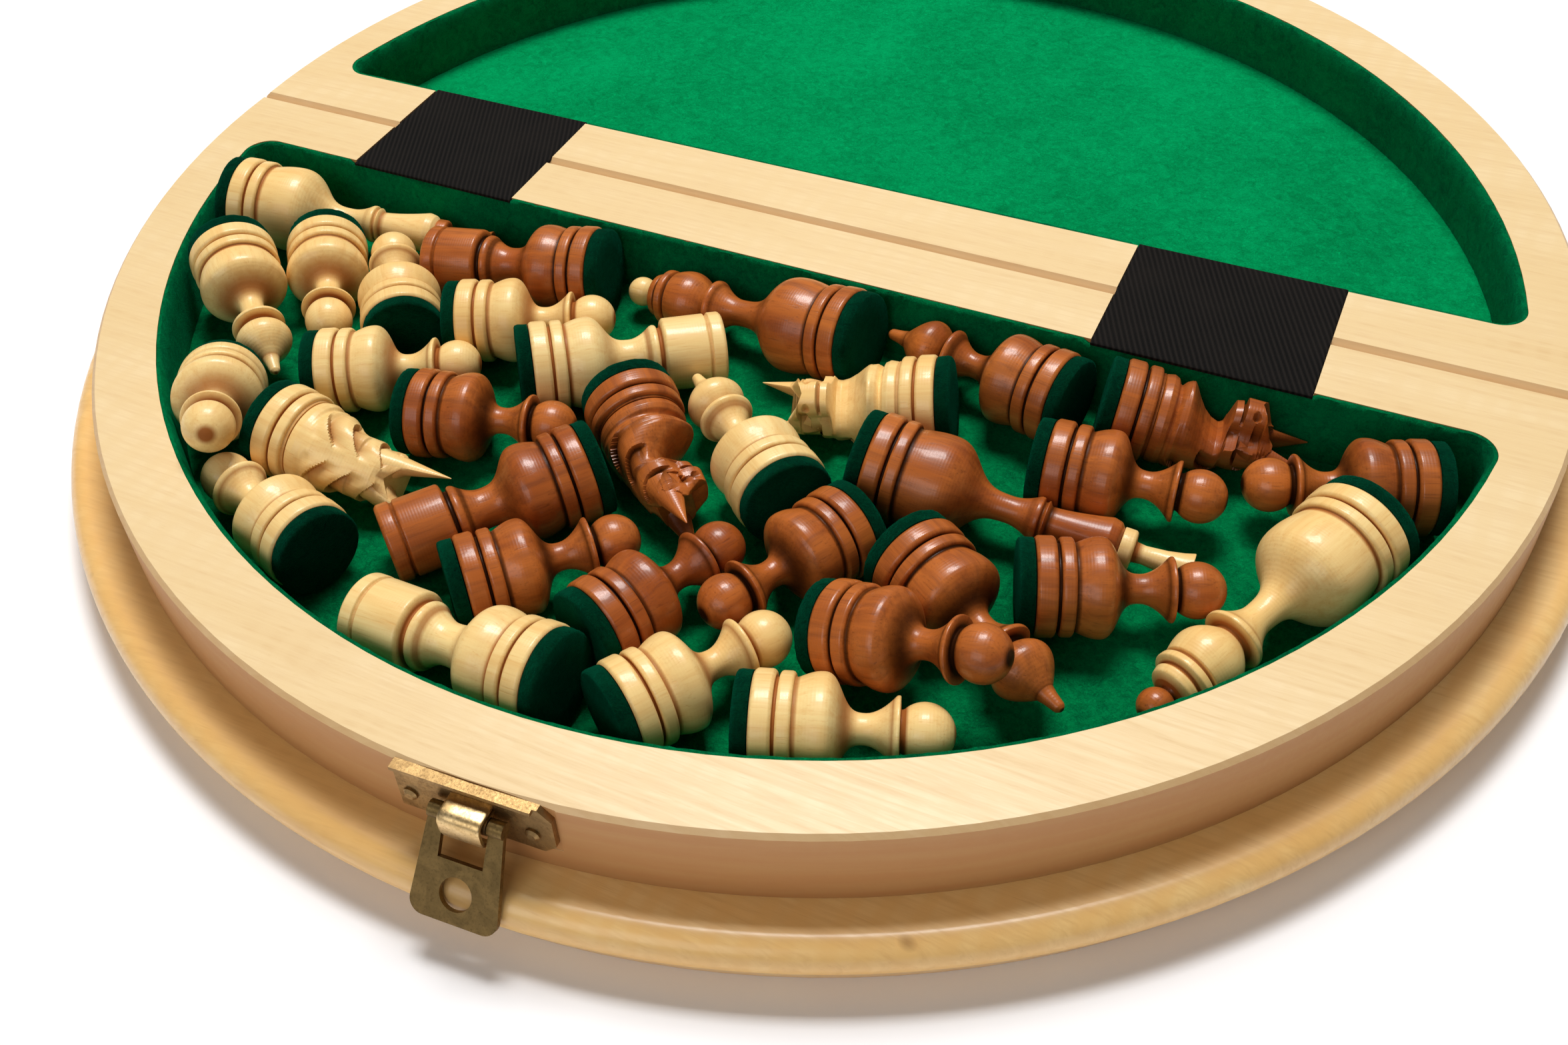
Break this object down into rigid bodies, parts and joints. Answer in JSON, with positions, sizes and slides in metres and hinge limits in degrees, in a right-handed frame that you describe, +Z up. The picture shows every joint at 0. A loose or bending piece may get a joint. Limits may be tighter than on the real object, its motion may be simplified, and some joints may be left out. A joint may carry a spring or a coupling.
{
  "type": "chess box",
  "caption": "Round folding wooden chess box lying open: two half-disc trays lined with felt, webbing hinges along the seam, brass hasp, and a turned chess set lying in one tray",
  "frame": {"origin": "centre of the underside of the open box, on the line of the seam", "axes": "+X along the seam to the picture's right, +Y from the tray with the pieces towards the empty lid half, +Z up"},
  "size_m": [0.32, 0.3306, 0.0381],
  "materials": {
    "board_wood": "varnished golden hardwood",
    "tray_wood": "satin pale maple",
    "square_wood": "varnished dark inlay",
    "felt": "green felt",
    "webbing": "ribbed black webbing",
    "brass": "dull aged brass",
    "dark_wood": "polished reddish brown wood",
    "light_wood": "polished pale boxwood"
  },
  "bodies": {
    "near_half": {"near_board": "board_wood", "near_squares": "square_wood", "near_frame": "tray_wood", "near_floor_felt": "felt", "near_wall_felt": "felt", "hinge_tape_left": "webbing", "hinge_tape_right": "webbing", "hasp_base_plate": "brass", "hasp_nails": "brass"},
    "lid_half": {"far_board": "board_wood", "far_squares": "square_wood", "far_frame": "tray_wood", "far_floor_felt": "felt", "far_wall_felt": "felt", "catch_plate": "brass", "catch_stud": "brass"},
    "hasp": {"hasp_plate": "brass"},
    "dark_king_body": {"dark_king": "dark_wood"},
    "dark_queen_body": {"dark_queen": "dark_wood"},
    "dark_bishop_1_body": {"dark_bishop_1": "dark_wood"},
    "dark_bishop_2_body": {"dark_bishop_2": "dark_wood"},
    "dark_knight_1_body": {"dark_knight_1": "dark_wood"},
    "dark_knight_2_body": {"dark_knight_2": "dark_wood"},
    "dark_rook_1_body": {"dark_rook_1": "dark_wood"},
    "dark_rook_2_body": {"dark_rook_2": "dark_wood"},
    "dark_pawn_1_body": {"dark_pawn_1": "dark_wood"},
    "dark_pawn_2_body": {"dark_pawn_2": "dark_wood"},
    "dark_pawn_3_body": {"dark_pawn_3": "dark_wood"},
    "dark_pawn_4_body": {"dark_pawn_4": "dark_wood"},
    "dark_pawn_5_body": {"dark_pawn_5": "dark_wood"},
    "dark_pawn_6_body": {"dark_pawn_6": "dark_wood"},
    "dark_pawn_7_body": {"dark_pawn_7": "dark_wood"},
    "dark_pawn_8_body": {"dark_pawn_8": "dark_wood"},
    "light_king_body": {"light_king": "light_wood"},
    "light_queen_body": {"light_queen": "light_wood"},
    "light_bishop_1_body": {"light_bishop_1": "light_wood"},
    "light_bishop_2_body": {"light_bishop_2": "light_wood"},
    "light_knight_1_body": {"light_knight_1": "light_wood"},
    "light_knight_2_body": {"light_knight_2": "light_wood"},
    "light_rook_1_body": {"light_rook_1": "light_wood"},
    "light_rook_2_body": {"light_rook_2": "light_wood"},
    "light_pawn_1_body": {"light_pawn_1": "light_wood"},
    "light_pawn_2_body": {"light_pawn_2": "light_wood"},
    "light_pawn_3_body": {"light_pawn_3": "light_wood"},
    "light_pawn_4_body": {"light_pawn_4": "light_wood"},
    "light_pawn_5_body": {"light_pawn_5": "light_wood"},
    "light_pawn_6_body": {"light_pawn_6": "light_wood"},
    "light_pawn_7_body": {"light_pawn_7": "light_wood"},
    "light_pawn_8_body": {"light_pawn_8": "light_wood"}
  },
  "joints": [
    {"name": "fold", "type": "hinge", "parent": "near_half", "child": "lid_half", "pos_m": [0, 0, 0.0281], "axis": [-1, 0, 0], "range_deg": [-180, 0], "deforming": ["hinge_tape_left", "hinge_tape_right"]},
    {"name": "hasp_swing", "type": "hinge", "parent": "near_half", "child": "hasp", "pos_m": [0.00884, -0.15614, 0.0223], "axis": [0.9983, 0.058, 0], "range_deg": [-146, 0]},
    {"name": "lift_dark_king", "type": "slide", "parent": "near_half", "child": "dark_king_body", "axis": [0, 0, 1], "range_m": [0, 0.06]},
    {"name": "lift_dark_queen", "type": "slide", "parent": "near_half", "child": "dark_queen_body", "axis": [0, 0, 1], "range_m": [0, 0.06]},
    {"name": "lift_dark_bishop_1", "type": "slide", "parent": "near_half", "child": "dark_bishop_1_body", "axis": [0, 0, 1], "range_m": [0, 0.06]},
    {"name": "lift_dark_bishop_2", "type": "slide", "parent": "near_half", "child": "dark_bishop_2_body", "axis": [0, 0, 1], "range_m": [0, 0.06]},
    {"name": "lift_dark_knight_1", "type": "slide", "parent": "near_half", "child": "dark_knight_1_body", "axis": [0, 0, 1], "range_m": [0, 0.06]},
    {"name": "lift_dark_knight_2", "type": "slide", "parent": "near_half", "child": "dark_knight_2_body", "axis": [0, 0, 1], "range_m": [0, 0.06]},
    {"name": "lift_dark_rook_1", "type": "slide", "parent": "near_half", "child": "dark_rook_1_body", "axis": [0, 0, 1], "range_m": [0, 0.06]},
    {"name": "lift_dark_rook_2", "type": "slide", "parent": "near_half", "child": "dark_rook_2_body", "axis": [0, 0, 1], "range_m": [0, 0.06]},
    {"name": "lift_dark_pawn_1", "type": "slide", "parent": "near_half", "child": "dark_pawn_1_body", "axis": [0, 0, 1], "range_m": [0, 0.06]},
    {"name": "lift_dark_pawn_2", "type": "slide", "parent": "near_half", "child": "dark_pawn_2_body", "axis": [0, 0, 1], "range_m": [0, 0.06]},
    {"name": "lift_dark_pawn_3", "type": "slide", "parent": "near_half", "child": "dark_pawn_3_body", "axis": [0, 0, 1], "range_m": [0, 0.06]},
    {"name": "lift_dark_pawn_4", "type": "slide", "parent": "near_half", "child": "dark_pawn_4_body", "axis": [0, 0, 1], "range_m": [0, 0.06]},
    {"name": "lift_dark_pawn_5", "type": "slide", "parent": "near_half", "child": "dark_pawn_5_body", "axis": [0, 0, 1], "range_m": [0, 0.06]},
    {"name": "lift_dark_pawn_6", "type": "slide", "parent": "near_half", "child": "dark_pawn_6_body", "axis": [0, 0, 1], "range_m": [0, 0.06]},
    {"name": "lift_dark_pawn_7", "type": "slide", "parent": "dark_bishop_2_body", "child": "dark_pawn_7_body", "axis": [0, 0, 1], "range_m": [0, 0.06]},
    {"name": "lift_dark_pawn_8", "type": "slide", "parent": "near_half", "child": "dark_pawn_8_body", "axis": [0, 0, 1], "range_m": [0, 0.06]},
    {"name": "lift_light_king", "type": "slide", "parent": "near_half", "child": "light_king_body", "axis": [0, 0, 1], "range_m": [0, 0.06]},
    {"name": "lift_light_queen", "type": "slide", "parent": "near_half", "child": "light_queen_body", "axis": [0, 0, 1], "range_m": [0, 0.06]},
    {"name": "lift_light_bishop_1", "type": "slide", "parent": "near_half", "child": "light_bishop_1_body", "axis": [0, 0, 1], "range_m": [0, 0.06]},
    {"name": "lift_light_bishop_2", "type": "slide", "parent": "near_half", "child": "light_bishop_2_body", "axis": [0, 0, 1], "range_m": [0, 0.06]},
    {"name": "lift_light_knight_1", "type": "slide", "parent": "near_half", "child": "light_knight_1_body", "axis": [0, 0, 1], "range_m": [0, 0.06]},
    {"name": "lift_light_knight_2", "type": "slide", "parent": "near_half", "child": "light_knight_2_body", "axis": [0, 0, 1], "range_m": [0, 0.06]},
    {"name": "lift_light_rook_1", "type": "slide", "parent": "near_half", "child": "light_rook_1_body", "axis": [0, 0, 1], "range_m": [0, 0.06]},
    {"name": "lift_light_rook_2", "type": "slide", "parent": "near_half", "child": "light_rook_2_body", "axis": [0, 0, 1], "range_m": [0, 0.06]},
    {"name": "lift_light_pawn_1", "type": "slide", "parent": "near_half", "child": "light_pawn_1_body", "axis": [0, 0, 1], "range_m": [0, 0.06]},
    {"name": "lift_light_pawn_2", "type": "slide", "parent": "near_half", "child": "light_pawn_2_body", "axis": [0, 0, 1], "range_m": [0, 0.06]},
    {"name": "lift_light_pawn_3", "type": "slide", "parent": "near_half", "child": "light_pawn_3_body", "axis": [0, 0, 1], "range_m": [0, 0.06]},
    {"name": "lift_light_pawn_4", "type": "slide", "parent": "near_half", "child": "light_pawn_4_body", "axis": [0, 0, 1], "range_m": [0, 0.06]},
    {"name": "lift_light_pawn_5", "type": "slide", "parent": "light_pawn_6_body", "child": "light_pawn_5_body", "axis": [0, 0, 1], "range_m": [0, 0.06]},
    {"name": "lift_light_pawn_6", "type": "slide", "parent": "light_knight_2_body", "child": "light_pawn_6_body", "axis": [0, 0, 1], "range_m": [0, 0.06]},
    {"name": "lift_light_pawn_7", "type": "slide", "parent": "near_half", "child": "light_pawn_7_body", "axis": [0, 0, 1], "range_m": [0, 0.06]},
    {"name": "lift_light_pawn_8", "type": "slide", "parent": "near_half", "child": "light_pawn_8_body", "axis": [0, 0, 1], "range_m": [0, 0.06]}
  ]
}
